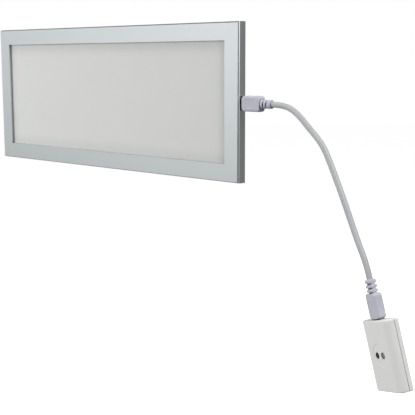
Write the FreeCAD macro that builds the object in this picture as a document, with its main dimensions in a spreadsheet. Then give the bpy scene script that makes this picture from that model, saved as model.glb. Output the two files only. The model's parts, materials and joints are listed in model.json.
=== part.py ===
import FreeCAD, Part
import math
import os
import re

import Sketcher

# An edge-lit LED panel light with a plug-in lead and a hand-wave switch box.
#
# Part frame: +Z up, +X to the panel's right as seen from the front, -Y out of the lit face.
# The origin is the centre of the panel's flat back, which lies against what holds it up.
# The lead leaves a socket in the right-hand rail, bends over and hangs, with the switch box
# plugged on its lower end.

SIZES = {
    # the panel
    "panel_width": (253, "outer width of the frame"),
    "panel_height": (100, "outer height of the frame"),
    "panel_depth": (6.9, "front of the bezel to the back cover"),
    "bezel_width": (11.5, "visible width of each rail"),
    "lip_depth": (1.8, "thickness of a rail's front lip"),
    "wall_thick": (1.4, "thickness of a rail's outer wall"),
    "edge_chamfer": (0.3, "chamfer round the front edge"),
    "step_inset": (0.45, "front edge inside the side face, and the slope between them"),
    "step_depth": (1.2, "front face to the start of that slope"),
    "slot_length": (8.4, "socket slot along the rail"),
    "slot_width": (3.4, "socket slot across the rail"),
    # what lies inside the frame, from front to back
    "diffuser_depth": (1.2, "opal diffuser"),
    "guide_depth": (2.4, "acrylic light guide"),
    "reflector_depth": (0.2, "white reflector sheet"),
    "pad_depth": (0.5, "foam sheet that presses the stack forward"),
    "cover_depth": (0.8, "aluminium back cover"),
    "cover_gap": (0.1, "clearance round the back cover"),
    "stack_inset_x": (9.5, "frame side to the end of the optical stack"),
    "stack_inset_z": (3.5, "frame top to the edge of the optical stack"),
    # the light strips
    "strip_length": (230, "light strip board"),
    "strip_thick": (1, "light strip board"),
    "strip_width": (4.1, "light strip board"),
    "strip_start": (1.9, "front face to the light strip board"),
    "led_length": (3, "one LED along the strip"),
    "led_width": (1.4, "one LED across the strip"),
    "led_tall": (0.8, "one LED off the board"),
    "led_pitch": (8.2, "LED to LED"),
    "led_count": (28, "LEDs on a strip"),
    # corner blocks and cover screws
    "block_wide": (5.6, "corner block along X"),
    "block_tall": (14, "corner block along Z"),
    "block_in_x": (3.4, "frame side to the corner block"),
    "block_in_z": (4.6, "frame top to the corner block"),
    "screw_radius": (0.98, "cover screw shank"),
    "screw_hole": (1, "hole in the corner block"),
    "screw_head": (1.9, "cover screw head"),
    "screw_length": (4, "cover screw with its head"),
    "screw_room": (0.2, "hole beyond the screw's end"),
    "head_gap": (0.05, "clearance round a screw head"),
    "cross_long": (2.2, "cross recess in a screw head"),
    "cross_wide": (0.4, "cross recess in a screw head"),
    "cross_deep": (0.5, "cross recess in a screw head"),
    # wires inside the frame
    "wire_radius": (0.4, "one insulated wire"),
    "wire_side_gap": (1, "side wall to the middle of a wire"),
    "wire_end_gap": (0.5, "top or bottom wall to the middle of a wire"),
    "wire_step": (1.2, "start of the front wire inboard of the rear one's"),
    # sockets
    "socket_length": (5, "socket shell"),
    "socket_inset": (0.4, "socket mouth behind the housing"),
    "socket_wide": (7.6, "socket shell, outside"),
    "socket_thick": (2.6, "socket shell, outside"),
    "socket_base": (0.8, "insulator at the socket's back end"),
    "socket_corner": (0.7, "rounding of the socket shell"),
    "sheet_metal": (0.25, "wall of socket and plug shells"),
    "tongue_wide": (3.8, "socket tongue"),
    "tongue_thick": (0.5, "socket tongue"),
    "tongue_length": (3.6, "socket tongue"),
    "base_thick": (1.2, "insulator at the socket's back end"),
    "loose_fit": (0.1, "clearance of an insulator in its shell, both sides together"),
    "contact_wide": (0.35, "one contact"),
    "contact_thick": (0.08, "one contact"),
    "contact_pitch": (0.65, "contact to contact"),
    "board_offset": (1.3, "socket axis to the board under it"),
    "board_inset": (2.1, "socket mouth to the board's edge"),
    "board_thick": (1, "circuit boards"),
    "board_wide": (18, "socket board in the panel, along Z"),
    "board_long": (7.2, "socket board in the panel, along X"),
    # plugs
    "plug_wide": (9.7, "overmould"),
    "plug_thick": (6, "overmould"),
    "plug_nose": (2.1, "gap between the housing and the overmould"),
    "plug_end": (16.5, "housing to the end of the overmould's block"),
    "plug_corner": (2.2, "rounding of the nose corners"),
    "plug_heel": (1.4, "rounding of the heel corners"),
    "plug_edge": (1.25, "rounding of the long edges"),
    "relief_root": (15.5, "housing to the strain relief's root in the block"),
    "ring_radius": (3.15, "strain relief rings"),
    "ring_flat": (2.65, "axis to the flats on the rings' two sides"),
    "first_ring": (17.1, "housing to the first ring"),
    "first_slot": (18.7, "housing to the slot behind it"),
    "second_ring": (19.6, "housing to the second ring"),
    "second_slot": (21.2, "housing to the slot behind it"),
    "third_ring": (22.1, "housing to the third ring"),
    "taper_start": (23.9, "housing to the taper at the relief's end"),
    "core_radius": (1.3, "strain relief between its rings"),
    "rib_wide": (5.2, "rib through the rings, across"),
    "rib_thick": (2.7, "rib through the rings"),
    "relief_end": (24.3, "housing to the end of the strain relief"),
    "relief_tip": (2.5, "radius of the strain relief's end"),
    "shell_wide": (6.85, "plug shell, outside"),
    "shell_thick": (1.85, "plug shell, outside"),
    "shell_reach": (4.4, "plug shell inside the housing"),
    "shell_root": (3.6, "plug shell's end inside the overmould"),
    "shell_corner": (0.5, "rounding of the plug shell"),
    "insert_low": (0.42, "plug axis to the insulator that carries the contacts"),
    "insert_thick": (0.22, "that insulator"),
    "insert_block": (0.6, "housing to the insulator's solid end"),
    "insert_fit": (0.2, "clearance of the insulator in its shell, both sides together"),
    "contact_inset": (0.3, "plug shell's end to the contacts"),
    "contact_sink": (0.01, "contacts let into their insulator"),
    # the lead and the switch box's place
    "cord_diameter": (3.6, "round two-core lead"),
    "switch_x": (235.3, "origin of the switch box's socket frame"),
    "switch_y": (-10.6, "origin of the switch box's socket frame"),
    "switch_z": (-117.3, "origin of the switch box's socket frame"),
    "switch_lean": (16.6, "degrees that the box hangs out of plumb, in the panel's plane"),
    "switch_twist": (24.3, "degrees that its face is turned to the left"),
    # the switch box
    "box_top": (1.75, "origin of the socket frame to the top of the box"),
    "box_long": (40.2, "switch box"),
    "box_wide": (28.1, "switch box"),
    "box_front": (4.25, "plug axis to the front of the box"),
    "box_split": (1, "plug axis to the parting line"),
    "box_back": (4.1, "plug axis to the back of the box"),
    "box_round": (4.2, "rounding of the front's long edges"),
    "box_wall": (1.3, "wall of both shells"),
    "box_edge": (0.5, "rounding of the other edges"),
    "back_round": (1, "rounding of the back's long edges"),
    "part_gap": (0.15, "parting line between the two shells"),
    "lip_start": (4, "end of the box to the end of the back shell's lips"),
    "lip_rise": (0.8, "lips beyond the parting line"),
    "lip_thick": (0.7, "lips that enter the front shell"),
    "lip_fit": (0.1, "clearance between a lip and the front shell's wall"),
    "lip_foot": (0.4, "depth of the foot that joins a lip to its wall"),
    "box_board_start": (2, "origin of the socket frame to the board"),
    "box_board_long": (34.5, "board in the box"),
    "box_board_wide": (23.2, "board in the box"),
    "box_board_thick": (0.9, "board in the box"),
    "eye_radius": (1.75, "infrared emitter and receiver"),
    "eye_flange": (2.1, "radius of their flange"),
    "flange_tall": (0.9, "flange off the board"),
    "eye_sunk": (0.25, "front of the box to the tip of their domes"),
    "eye_dome": (1.2, "rounding of their domes"),
    "eye_window": (1.85, "windows in the front shell"),
    "eye_pitch": (5.8, "window to window"),
    "eye_drop": (17.9, "origin of the socket frame to the eyes"),
    "eye_recess": (6.8, "radius of the shallow recess round the eyes"),
    "recess_depth": (0.2, "depth of that recess"),
}

doc = FreeCAD.newDocument("led_panel_light")
sheet = doc.addObject("Spreadsheet::Sheet", "sheet")
for row, (alias, (number, note)) in enumerate(SIZES.items(), start=1):
    sheet.set(f"A{row}", note)
    sheet.set(f"B{row}", str(number))
    sheet.setAlias(f"B{row}", alias)
doc.recompute()

subparts = []


# ---------------------------------------------------------------- helpers

def linked(formula):
    """Every alias has an underscore, so names like panel_width become links to the sheet."""
    return re.sub(r"[a-z]+(_[a-z]+)+", r"sheet.\g<0>", str(formula))


def value(formula):
    return float(sheet.evalExpression(linked(formula)))


def new_body(label, frame=FreeCAD.Placement()):
    body = doc.addObject("PartDesign::Body", label)
    body.Label = label
    body.AllowCompound = True
    body.Placement = frame
    subparts.append(body)
    return body


def attach(feature, body, role="XY_Plane"):
    plane = next(o for o in body.Origin.OriginFeatures if o.Role == role)
    feature.AttachmentSupport = (plane, "")
    feature.MapMode = "FlatFace"


def block(body, low, lengths, cut=False):
    """A box from its lowest corner and its three lengths, each a formula."""
    kind = "Subtractive" if cut else "Additive"
    box = body.newObject(f"PartDesign::{kind}Box", "Box")
    attach(box, body)
    for prop, formula in zip(("Length", "Width", "Height"), lengths):
        box.setExpression(prop, linked(formula))
    for axis, formula in zip("xyz", low):
        box.setExpression(f"AttachmentOffset.Base.{axis}", linked(formula))
    doc.recompute()
    return box


def cylinder(body, start, radius, length, turn, cut=False):
    """A cylinder from the centre of its first end; turn takes +Z to the way it points."""
    kind = "Subtractive" if cut else "Additive"
    peg = body.newObject(f"PartDesign::{kind}Cylinder", "Cylinder")
    attach(peg, body)
    peg.AttachmentOffset = FreeCAD.Placement(FreeCAD.Vector(), turn)
    peg.setExpression("Radius", linked(radius))
    peg.setExpression("Height", linked(length))
    for axis, formula in zip("xyz", start):
        peg.setExpression(f"AttachmentOffset.Base.{axis}", linked(formula))
    doc.recompute()
    return peg


def outline(body, role, points):
    """A closed sketch whose corners are given as pairs of formulas and held by constraints."""
    sketch = body.newObject("Sketcher::SketchObject", "Outline")
    attach(sketch, body, role)
    places = [FreeCAD.Vector(value(a), value(b), 0) for a, b in points]
    for number, place in enumerate(places):
        following = places[(number + 1) % len(places)]
        sketch.addGeometry(Part.LineSegment(place, following), False)
    for number in range(len(places)):
        following = (number + 1) % len(places)
        sketch.addConstraint(Sketcher.Constraint("Coincident", number, 2, following, 1))
    for number, (place, formulas) in enumerate(zip(places, points)):
        for kind, own_axis, distance, formula in (
            ("DistanceX", -2, place.x, formulas[0]),
            ("DistanceY", -1, place.y, formulas[1]),
        ):
            if abs(distance) < 1e-9:
                sketch.addConstraint(Sketcher.Constraint("PointOnObject", number, 1, own_axis))
                continue
            held = sketch.addConstraint(
                Sketcher.Constraint(kind, -1, 1, number, 1, distance))
            sketch.setExpression(f"Constraints[{held}]", linked(formula))
    doc.recompute()
    return sketch


def pad(body, sketch, length, reverse=False):
    feature = body.newObject("PartDesign::Pad", "Pad")
    feature.Profile = sketch
    feature.setExpression("Length", linked(length))
    feature.Reversed = reverse
    doc.recompute()
    return feature


def turned(body, points, axis, cut=False):
    """A revolved outline in the XY plane, about its X axis (H_Axis) or Y axis (V_Axis)."""
    sketch = outline(body, "XY_Plane", points)
    kind = "Groove" if cut else "Revolution"
    feature = body.newObject(f"PartDesign::{kind}", kind)
    feature.Profile = sketch
    feature.ReferenceAxis = (sketch, [axis])
    feature.Angle = 360
    doc.recompute()
    return feature


def rounded(body, radius, chosen):
    """Fillets the edges whose midpoint and direction chosen() accepts, in body coordinates."""
    tip = body.Tip
    names = []
    for number, edge in enumerate(tip.Shape.Edges, start=1):
        middle = edge.valueAt((edge.FirstParameter + edge.LastParameter) / 2)
        ends = edge.lastVertex().Point - edge.firstVertex().Point
        if chosen(middle, ends):
            names.append(f"Edge{number}")
    fillet = body.newObject("PartDesign::Fillet", "Fillet")
    fillet.Base = (tip, names)
    fillet.setExpression("Radius", linked(radius))
    doc.recompute()
    return fillet


def near(a, b):
    return abs(a - b) < 0.02


def lengthwise(ends):
    """True for an edge that runs along the X axis of its body."""
    return near(ends.y, 0) and near(ends.z, 0)


def route(points, report=None):
    """Straight runs joined by tangent arcs, each as large as its two runs allow."""
    edges = []
    at = points[0]
    for before, corner, after in zip(points, points[1:], points[2:]):
        inward = (corner - before).normalize()
        onward = (after - corner).normalize()
        half_turn = inward.getAngle(onward) / 2
        setback = 0.45 * min(before.distanceToPoint(corner), corner.distanceToPoint(after))
        radius = setback / math.tan(half_turn)
        if report:
            print(f"{report}: turn {math.degrees(2 * half_turn):.1f} deg, radius {radius:.1f} mm")
        first = corner - inward * setback
        last = corner + onward * setback
        to_centre = (onward - inward).normalize()
        middle = corner + to_centre * (radius / math.cos(half_turn) - radius)
        edges.append(Part.LineSegment(at, first).toShape())
        edges.append(Part.Arc(first, middle, last).toShape())
        at = last
    edges.append(Part.LineSegment(at, points[-1]).toShape())
    return Part.Wire(edges)


def tube(path, radius, label):
    """A round solid swept along the path, its volume compared with section times length."""
    start = path.Edges[0].valueAt(path.Edges[0].FirstParameter)
    along = path.Edges[0].tangentAt(path.Edges[0].FirstParameter)
    circle = Part.Wire(Part.makeCircle(radius, start, along))
    solid = path.makePipeShell([circle], True, True)
    expected = math.pi * radius ** 2 * path.Length
    if abs(solid.Volume / expected - 1) > 0.01:
        raise ValueError(f"{label}: volume {solid.Volume:.1f}, expected {expected:.1f}")
    return solid


def plain_part(label, shape):
    part = doc.addObject("Part::Feature", label)
    part.Label = label
    part.Shape = shape
    part.Placement = FreeCAD.Placement()
    subparts.append(part)
    return part


# ---------------------------------------------------------------- frames of reference
# A socket frame has its origin on the plug's axis at the housing's outer face, +X out of the
# socket and -Y towards the side that faces the front.

X_AXIS = FreeCAD.Vector(1, 0, 0)
Y_AXIS = FreeCAD.Vector(0, 1, 0)
FORWARD = FreeCAD.Rotation(X_AXIS, 90)
PAST = 0.5  # how far a cut runs past the face it starts from

half_width = value("panel_width / 2")
mid_depth = value("-panel_depth / 2")
right_socket = FreeCAD.Placement(FreeCAD.Vector(half_width, mid_depth, 0), FreeCAD.Rotation())
left_socket = FreeCAD.Placement(
    FreeCAD.Vector(-half_width, mid_depth, 0), FreeCAD.Rotation(Y_AXIS, 180))

lean = math.radians(value("switch_lean"))
plug_way = FreeCAD.Vector(-math.sin(lean), 0, math.cos(lean))
untwisted = FreeCAD.Rotation(plug_way, Y_AXIS, plug_way.cross(Y_AXIS), "XYZ")
twist = FreeCAD.Rotation(plug_way, value("-switch_twist"))
switch_mouth = FreeCAD.Vector(value("switch_x"), value("switch_y"), value("switch_z"))
switch_socket = FreeCAD.Placement(switch_mouth, twist * untwisted)


# ---------------------------------------------------------------- the panel's frame
# Each rail is an aluminium bar with a flat front lip and an outer wall, mitred at both ends.
# It is drawn with its outer face on the local XY plane and its length along X.

def make_rail(label, span, frame, with_slot):
    body = new_body(label, frame)
    half = f"{span} / 2"
    wall = outline(body, "XZ_Plane", [
        (f"-{half}", "0"), (half, "0"),
        (f"{half} - wall_thick", "-wall_thick"), (f"-{half} + wall_thick", "-wall_thick")])
    pad(body, wall, "panel_depth")
    lip = outline(body, "XZ_Plane", [
        (f"-{half}", "0"), (half, "0"),
        (f"{half} - bezel_width", "-bezel_width"), (f"-{half} + bezel_width", "-bezel_width")])
    lip.setExpression("AttachmentOffset.Base.z", linked("panel_depth - lip_depth"))
    pad(body, lip, "lip_depth")
    step = outline(body, "YZ_Plane", [
        (f"-panel_depth - {PAST}", PAST), (f"-panel_depth - {PAST}", "-step_inset - edge_chamfer"),
        ("-panel_depth", "-step_inset - edge_chamfer"),
        ("-panel_depth + edge_chamfer", "-step_inset"),
        ("-panel_depth + step_depth", "-step_inset"),
        ("-panel_depth + step_depth + step_inset", "0"),
        ("-panel_depth + step_depth + step_inset", PAST)])
    pocket = body.newObject("PartDesign::Pocket", "Pocket")
    pocket.Profile = step
    pocket.SideType = "Symmetric"
    pocket.setExpression("Length", linked(f"2 * {span}"))
    doc.recompute()
    if with_slot:
        block(body, ("-slot_length / 2", "-panel_depth / 2 - slot_width / 2", "-2 * wall_thick"),
              ("slot_length", "slot_width", "3 * wall_thick"), cut=True)
    return body


top = FreeCAD.Vector(0, 0, value("panel_height / 2"))
right = FreeCAD.Vector(half_width, 0, 0)
make_rail("frame_rail_top", "panel_width", FreeCAD.Placement(top, FreeCAD.Rotation()), False)
make_rail("frame_rail_bottom", "panel_width",
          FreeCAD.Placement(-top, FreeCAD.Rotation(Y_AXIS, 180)), False)
make_rail("frame_rail_right", "panel_height",
          FreeCAD.Placement(right, FreeCAD.Rotation(Y_AXIS, 90)), True)
make_rail("frame_rail_left", "panel_height",
          FreeCAD.Placement(-right, FreeCAD.Rotation(Y_AXIS, -90)), True)


# ---------------------------------------------------------------- the optical stack

def make_sheet(label, front, depth):
    """One sheet of the stack behind the frame's lip; front is its distance behind y = 0."""
    body = new_body(label)
    block(body, ("-panel_width / 2 + stack_inset_x", front, "-panel_height / 2 + stack_inset_z"),
          ("panel_width - 2 * stack_inset_x", depth, "panel_height - 2 * stack_inset_z"))
    return body


make_sheet("diffuser_plate", "-panel_depth + lip_depth", "diffuser_depth")
make_sheet("light_guide_plate", "-panel_depth + lip_depth + diffuser_depth", "guide_depth")
make_sheet("reflector_sheet", "-cover_depth - pad_depth - reflector_depth", "reflector_depth")
make_sheet("foam_pad", "-cover_depth - pad_depth", "pad_depth")


# ---------------------------------------------------------------- the light strips

def make_strip(name, side):
    """A board against the top (side 1) or bottom (side -1) wall, its LEDs facing the guide."""
    board = new_body(f"led_board_{name}")
    chips = new_body(f"led_chips_{name}")
    wall = "(panel_height / 2 - wall_thick)"
    board_low = f"{wall} - strip_thick" if side > 0 else f"-{wall}"
    led_low = f"{wall} - strip_thick - led_tall" if side > 0 else f"-{wall} + strip_thick"
    block(board, ("-strip_length / 2", "-panel_depth + strip_start", board_low),
          ("strip_length", "strip_width", "strip_thick"))
    guide_middle = "-panel_depth + lip_depth + diffuser_depth + guide_depth / 2"
    first = block(
        chips, ("-(led_count - 1) * led_pitch / 2 - led_length / 2",
                f"{guide_middle} - led_width / 2", led_low),
        ("led_length", "led_width", "led_tall"))
    pattern = chips.newObject("PartDesign::LinearPattern", "LedRow")
    pattern.Originals = [first]
    x_line = next(o for o in chips.Origin.OriginFeatures if o.Role == "X_Axis")
    pattern.Direction = (x_line, [""])
    pattern.setExpression("Length", linked("(led_count - 1) * led_pitch"))
    pattern.setExpression("Occurrences", linked("led_count"))
    chips.Tip = pattern
    doc.recompute()


make_strip("top", 1)
make_strip("bottom", -1)


# ---------------------------------------------------------------- corner blocks, cover, screws

CORNERS = [(x_side, z_side) for x_side in (-1, 1) for z_side in (-1, 1)]
SCREW_X = "(panel_width / 2 - block_in_x - block_wide / 2)"
SCREW_Z = "(panel_height / 2 - block_in_z - block_tall / 2)"


def make_corner_blocks():
    body = new_body("corner_blocks")
    for x_side, z_side in CORNERS:
        block(body, (f"{x_side} * {SCREW_X} - block_wide / 2", "-panel_depth + lip_depth",
                     f"{z_side} * {SCREW_Z} - block_tall / 2"),
              ("block_wide", "panel_depth - lip_depth - cover_depth", "block_tall"))
    for x_side, z_side in CORNERS:
        cylinder(body, (f"{x_side} * {SCREW_X}", "0", f"{z_side} * {SCREW_Z}"),
                 "screw_hole", "screw_length + screw_room", FORWARD, cut=True)


def make_back_cover():
    """A flat sheet let in between the rails, with a countersunk hole at each corner."""
    body = new_body("back_cover")
    inset = "(wall_thick + cover_gap)"
    block(body, (f"-panel_width / 2 + {inset}", "-cover_depth", f"-panel_height / 2 + {inset}"),
          (f"panel_width - 2 * {inset}", "cover_depth", f"panel_height - 2 * {inset}"))
    for x_side, z_side in CORNERS:
        cone = body.newObject("PartDesign::SubtractiveCone", "Countersink")
        attach(cone, body)
        cone.AttachmentOffset = FreeCAD.Placement(FreeCAD.Vector(), FORWARD)
        cone.setExpression("AttachmentOffset.Base.x", linked(f"{x_side} * {SCREW_X}"))
        cone.setExpression("AttachmentOffset.Base.z", linked(f"{z_side} * {SCREW_Z}"))
        cone.setExpression("Radius1", linked("screw_head + head_gap"))
        cone.setExpression("Radius2", linked("screw_hole + head_gap"))
        cone.setExpression("Height", linked("cover_depth"))
        doc.recompute()


def make_cover_screws():
    """Flat-headed screws with a cross recess, flush with the cover."""
    body = new_body("cover_screws")
    for x_side, z_side in CORNERS:
        place = (f"{x_side} * {SCREW_X}", "0", f"{z_side} * {SCREW_Z}")
        cylinder(body, place, "screw_radius", "screw_length", FORWARD)
        head = body.newObject("PartDesign::AdditiveCone", "Head")
        attach(head, body)
        head.AttachmentOffset = FreeCAD.Placement(FreeCAD.Vector(), FORWARD)
        head.setExpression("AttachmentOffset.Base.x", linked(place[0]))
        head.setExpression("AttachmentOffset.Base.z", linked(place[2]))
        head.setExpression("Radius1", linked("screw_head"))
        head.setExpression("Radius2", linked("screw_radius"))
        head.setExpression("Height", linked("cover_depth"))
        doc.recompute()
        for long_x, long_z in (("cross_long", "cross_wide"), ("cross_wide", "cross_long")):
            block(body, (f"{place[0]} - {long_x} / 2", "-cross_deep",
                         f"{place[2]} - {long_z} / 2"),
                  (long_x, f"cross_deep + {PAST}", long_z), cut=True)


make_corner_blocks()
make_back_cover()
make_cover_screws()


# ---------------------------------------------------------------- sockets

CONTACT_ROWS = range(-2, 3)


def make_socket(prefix, frame):
    """Sheet-metal shell, tongue and five contacts of a small five-pole socket."""
    back = "-socket_inset - socket_length"
    shell = new_body(f"{prefix}_shell", frame)
    block(shell, (back, "-socket_thick / 2", "-socket_wide / 2"),
          ("socket_length", "socket_thick", "socket_wide"))
    rounded(shell, "socket_corner", lambda at, ends: lengthwise(ends))
    block(shell, (f"{back} - {PAST}", "-socket_thick / 2 + sheet_metal",
                  "-socket_wide / 2 + sheet_metal"),
          (f"socket_length + 2 * {PAST}", "socket_thick - 2 * sheet_metal",
           "socket_wide - 2 * sheet_metal"), cut=True)
    inner = value("socket_wide / 2 - sheet_metal")
    rounded(shell, "socket_corner - sheet_metal",
            lambda at, ends: lengthwise(ends) and near(abs(at.z), inner))

    tongue = new_body(f"{prefix}_tongue", frame)
    block(tongue, (back, "-base_thick / 2", "-socket_wide / 2 + sheet_metal + loose_fit / 2"),
          ("socket_base", "base_thick", "socket_wide - 2 * sheet_metal - loose_fit"))
    block(tongue, (back, "-tongue_thick / 2", "-tongue_wide / 2"),
          ("socket_base + tongue_length", "tongue_thick", "tongue_wide"))

    contacts = new_body(f"{prefix}_contacts", frame)
    for row in CONTACT_ROWS:
        block(contacts, (f"{back} + socket_base", "tongue_thick / 2",
                         f"{row} * contact_pitch - contact_wide / 2"),
              ("tongue_length - contact_inset", "contact_thick", "contact_wide"))


# Parts on a board: low corner along X and Z in the socket's frame, then the lengths along X,
# off the board and along Z, all in mm.
PANEL_BOARD_PARTS = (
    (-8.2, 4.6, 3.2, 1.1, 3),
    (-8, -6, 0.9, 0.5, 1.7),
    (-6, -6, 0.9, 0.5, 1.7),
    (-8, -8.2, 0.9, 0.5, 1.7),
)


def parts_on_board(body, table):
    for low_x, low_z, long_x, tall, long_z in table:
        block(body, (low_x, f"board_offset - {tall}", low_z), (long_x, tall, long_z))


def make_panel_board(prefix, frame):
    """The small board behind a socket, with a driver chip and three resistors on it."""
    board = new_body(f"{prefix}_board", frame)
    block(board, ("-board_inset - board_long", "board_offset", "-board_wide / 2"),
          ("board_long", "board_thick", "board_wide"))
    chips = new_body(f"{prefix}_board_parts", frame)
    parts_on_board(chips, PANEL_BOARD_PARTS)


for side_name, side_frame in (("right", right_socket), ("left", left_socket)):
    make_socket(f"{side_name}_socket", side_frame)
    make_panel_board(f"{side_name}_socket", side_frame)


# ---------------------------------------------------------------- wires inside the frame
# From each socket board a pair of wires runs along the side wall, past the corner block and
# round the corner to the end of each light strip.

def make_wires(label, depth, board_end):
    solids = []
    wall_x = value("panel_width / 2 - wall_thick - wire_side_gap")
    wall_z = value("panel_height / 2 - wall_thick - wire_end_gap")
    strip_end = value("strip_length / 2")
    for x_side, z_side in CORNERS:
        corner = FreeCAD.Vector(x_side * wall_x, depth, z_side * wall_z)
        start = FreeCAD.Vector(corner.x, depth, z_side * board_end)
        end = FreeCAD.Vector(x_side * strip_end, depth, corner.z)
        solids.append(tube(route([start, corner, end]), value("wire_radius"), label))
    plain_part(label, Part.Compound(solids))


make_wires("wires_positive", mid_depth + value("board_offset + board_thick / 2"),
           value("board_wide / 2"))
make_wires("wires_negative", mid_depth + value("board_offset - wire_radius"),
           value("board_wide / 2 - wire_step"))


# ---------------------------------------------------------------- plugs

def make_plug(prefix, frame):
    """Overmould with its ringed strain relief, metal shell, insulator and five contacts."""
    moulding = new_body(f"{prefix}_overmould", frame)
    block(moulding, ("plug_nose", "-plug_thick / 2", "-plug_wide / 2"),
          ("plug_end - plug_nose", "plug_thick", "plug_wide"))
    nose = value("plug_nose")
    heel = value("plug_end")
    side = value("plug_thick / 2")
    rounded(moulding, "plug_corner",
            lambda at, ends: near(ends.x, 0) and near(ends.z, 0) and near(at.x, nose))
    rounded(moulding, "plug_heel",
            lambda at, ends: near(ends.x, 0) and near(ends.z, 0) and near(at.x, heel))
    rounded(moulding, "plug_edge", lambda at, ends: near(abs(at.y), side))
    turned(moulding, [
        ("relief_root", "0"), ("relief_root", "core_radius"),
        ("first_ring", "core_radius"), ("first_ring", "ring_radius"),
        ("first_slot", "ring_radius"), ("first_slot", "core_radius"),
        ("second_ring", "core_radius"), ("second_ring", "ring_radius"),
        ("second_slot", "ring_radius"), ("second_slot", "core_radius"),
        ("third_ring", "core_radius"), ("third_ring", "ring_radius"),
        ("taper_start", "ring_radius"), ("relief_end", "relief_tip"), ("relief_end", "0")],
        "H_Axis")
    for low_z in ("ring_flat", "-ring_flat - ring_radius"):
        block(moulding, ("plug_end", "-plug_thick", low_z),
              (f"relief_end - plug_end + {PAST}", "2 * plug_thick", "ring_radius"), cut=True)
    block(moulding, ("relief_root", "-rib_thick / 2", "-rib_wide / 2"),
          (f"third_ring - relief_root + {PAST}", "rib_thick", "rib_wide"))
    block(moulding, (f"plug_nose - {PAST}", "-shell_thick / 2", "-shell_wide / 2"),
          (f"shell_root - plug_nose + {PAST}", "shell_thick", "shell_wide"), cut=True)

    shell = new_body(f"{prefix}_shell", frame)
    block(shell, ("-shell_reach", "-shell_thick / 2", "-shell_wide / 2"),
          ("shell_reach + shell_root", "shell_thick", "shell_wide"))
    rounded(shell, "shell_corner", lambda at, ends: lengthwise(ends))
    block(shell, (f"-shell_reach - {PAST}", "-shell_thick / 2 + sheet_metal",
                  "-shell_wide / 2 + sheet_metal"),
          (f"shell_reach + shell_root + 2 * {PAST}", "shell_thick - 2 * sheet_metal",
           "shell_wide - 2 * sheet_metal"), cut=True)

    insert = new_body(f"{prefix}_insert", frame)
    side_z = "-shell_wide / 2 + sheet_metal + insert_fit / 2"
    across = "shell_wide - 2 * sheet_metal - insert_fit"
    block(insert, ("-shell_reach + contact_inset", "insert_low", side_z),
          ("shell_reach + shell_root - contact_inset", "insert_thick", across))
    block(insert, ("insert_block", "-insert_low - insert_thick", side_z),
          ("shell_root - insert_block", "2 * (insert_low + insert_thick)", across))

    contacts = new_body(f"{prefix}_contacts", frame)
    for row in CONTACT_ROWS:
        block(contacts, ("-shell_reach + contact_inset",
                         "insert_low - contact_thick + contact_sink",
                         f"{row} * contact_pitch - contact_wide / 2"),
              ("shell_reach", "contact_thick - contact_sink", "contact_wide"))


make_plug("panel_plug", right_socket)
make_plug("switch_plug", switch_socket)


# ---------------------------------------------------------------- the lead
# Straight out of the panel's plug, over in a bend that opens as it drops, then nearly straight
# down to the switch box's plug, which it meets along the plug's own axis.

lead_start = right_socket.multVec(X_AXIS * value("relief_end"))
lead_end = switch_mouth + plug_way * value("relief_end")
lead_points = [
    lead_start,
    FreeCAD.Vector(160.3, mid_depth, 0),
    FreeCAD.Vector(170.0, -3.6, -4.3),
    FreeCAD.Vector(178.6, -4.0, -12.1),
    FreeCAD.Vector(189.9, -4.7, -21.6),
    FreeCAD.Vector(197.4, -5.7, -34.0),
    FreeCAD.Vector(207.5, -7.2, -52.5),
    FreeCAD.Vector(218.0, -9.0, -73.0),
    lead_end + plug_way * 8,
    lead_end,
]
lead_path = route(lead_points, "lead")
print(f"lead length {lead_path.Length:.1f} mm")
plain_part("lead_cord", tube(lead_path, value("cord_diameter / 2"), "lead_cord"))


# ---------------------------------------------------------------- the switch box
# Drawn in its socket's frame: the box lies from x = box_top down to x = box_top - box_long, its
# front at y = -box_front and its back at y = box_back, and its left-hand side, seen from the
# front, at +z.

make_socket("switch_socket", switch_socket)


def make_front_shell():
    body = new_body("switch_front_shell", switch_socket)
    front = value("box_front")
    inside = value("box_front - box_wall")
    half = value("box_wide / 2")
    inner_half = value("box_wide / 2 - box_wall")
    ends_x = (value("box_top"), value("box_top - box_long"))
    parting = value("box_split")
    block(body, ("box_top - box_long", "-box_front", "-box_wide / 2"),
          ("box_long", "box_front + box_split", "box_wide"))
    rounded(body, "box_round",
            lambda at, ends: lengthwise(ends) and near(at.y, -front) and near(abs(at.z), half))
    rounded(body, "box_edge",
            lambda at, ends: any(near(at.x, x) for x in ends_x) and at.y < parting - 0.1)
    block(body, ("box_top - box_long + box_wall", "-box_front + box_wall",
                 "-box_wide / 2 + box_wall"),
          ("box_long - 2 * box_wall", "box_front + box_split", "box_wide - 2 * box_wall"),
          cut=True)
    rounded(body, "box_round - box_wall",
            lambda at, ends: lengthwise(ends) and near(at.y, -inside)
            and near(abs(at.z), inner_half))
    block(body, (f"box_top - box_wall - {PAST}", "-slot_width / 2", "-slot_length / 2"),
          (f"box_wall + 2 * {PAST}", f"slot_width / 2 + box_split + {PAST}", "slot_length"),
          cut=True)
    cylinder(body, ("-eye_drop", "-box_front + recess_depth", "0"),
             "eye_recess", f"recess_depth + {PAST}", FORWARD, cut=True)
    for side in (-1, 1):
        cylinder(body, ("-eye_drop", f"-box_front + box_wall + {PAST}", f"{side} * eye_pitch / 2"),
                 "eye_window", f"box_wall + 2 * {PAST}", FORWARD, cut=True)


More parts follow.
